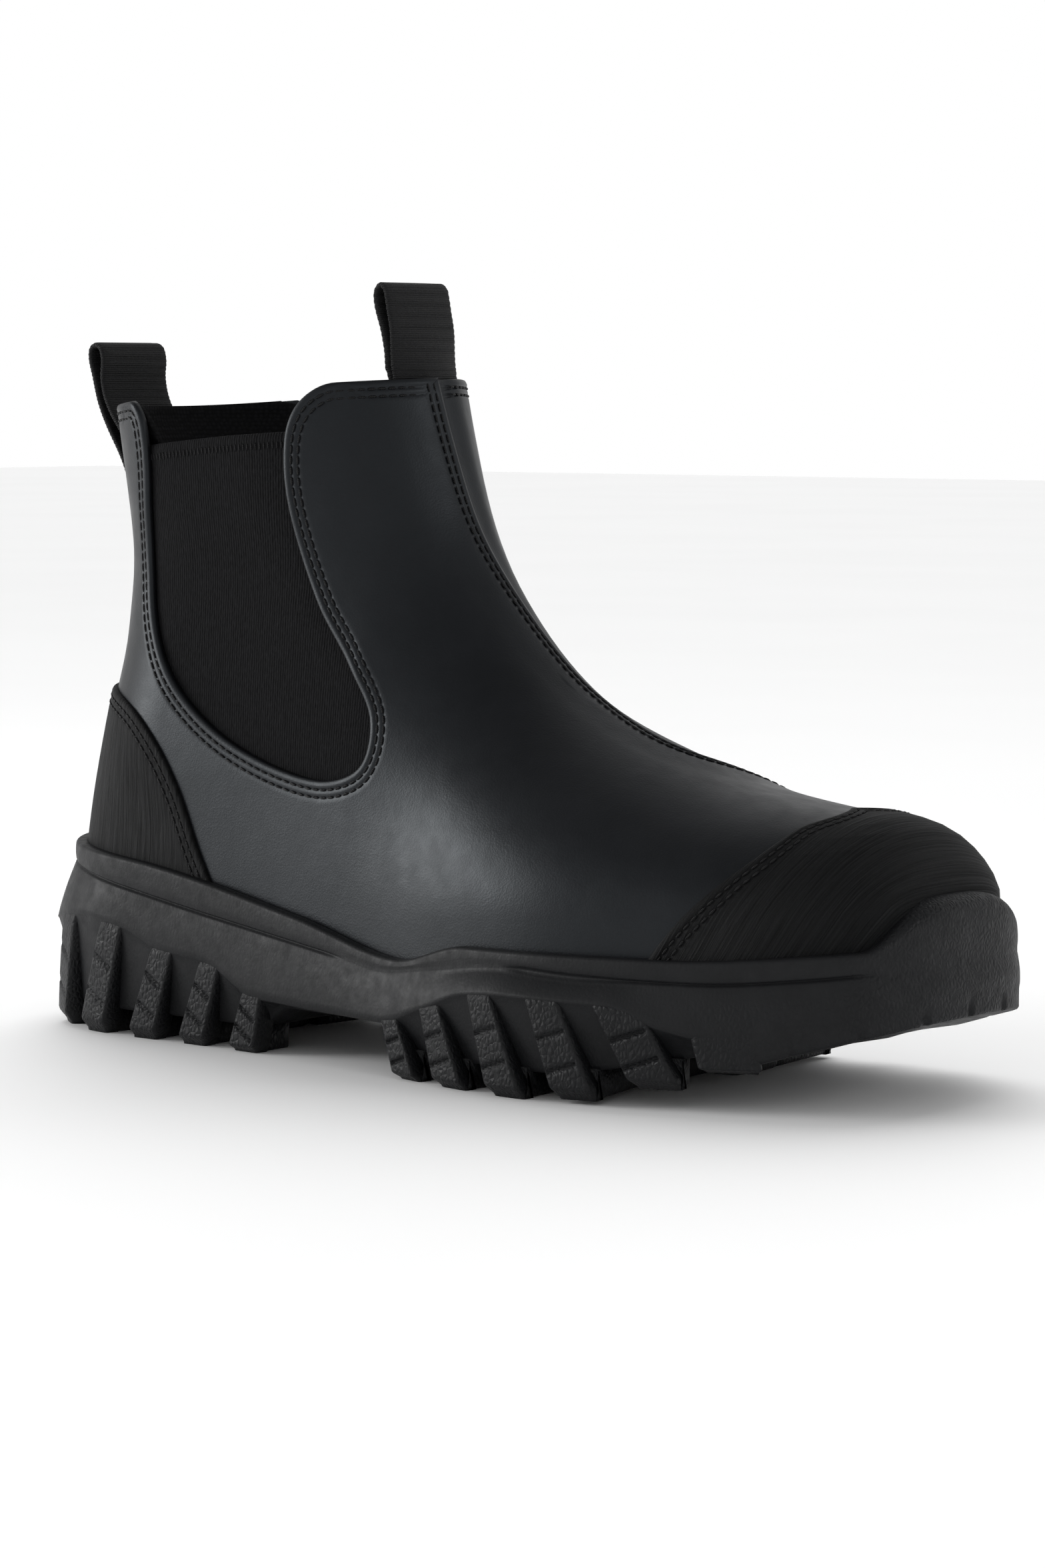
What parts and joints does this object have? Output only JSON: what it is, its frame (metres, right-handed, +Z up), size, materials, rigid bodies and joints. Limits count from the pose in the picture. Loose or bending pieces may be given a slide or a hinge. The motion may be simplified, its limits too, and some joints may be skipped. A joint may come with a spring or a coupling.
{
  "type": "safety boot",
  "caption": "Pull-on ankle work boot with a steel toe cap, elastic side panels, webbing pull loops, toe bumper and lugged rubber cup sole.",
  "frame": {"origin": "on the ground, half way along and half way across the sole", "axes": "+X to the toe, +Y to the inside of the foot, +Z up"},
  "size_m": [0.2903, 0.1106, 0.2036],
  "materials": {
    "rubber": "matt charcoal moulded rubber",
    "leather": "smooth matt black leather",
    "overlay": "matt black coated leather with fine flowing grain",
    "elastic": "black knitted elastic",
    "webbing": "black ribbed polyester webbing",
    "lining": "black textile lining",
    "foam": "dark closed-cell foam",
    "board": "fibre board",
    "steel": "pressed steel"
  },
  "bodies": {
    "boot": {"outsole": "rubber", "midsole_foam": "foam", "shank": "steel", "insole_board": "board", "footbed": "foam", "steel_toe_cap": "steel", "toe_cap_edge_strip": "foam", "heel_counter": "board", "vamp_and_outside_quarter": "leather", "inside_quarter": "leather", "toe_overlay": "overlay", "heel_overlay": "overlay", "outside_elastic": "elastic", "inside_elastic": "elastic", "vamp_lining": "lining", "quarter_lining": "lining", "backstay": "webbing", "rear_loop_tail": "webbing", "front_loop_tail": "webbing"},
    "front_loop": {"front_pull_loop": "webbing"},
    "rear_loop": {"rear_pull_loop": "webbing"}
  },
  "joints": [
    {"name": "front_loop_bend", "type": "hinge", "parent": "boot", "child": "front_loop", "pos_m": [-0.02225, 0, 0.1776], "axis": [0, 1, 0], "range_deg": [-30, 30], "stiffness_Nm_per_rad": 0.02},
    {"name": "rear_loop_bend", "type": "hinge", "parent": "boot", "child": "rear_loop", "pos_m": [-0.12029, 0, 0.143], "axis": [0, 1, 0], "range_deg": [-45, 0], "stiffness_Nm_per_rad": 0.02}
  ]
}
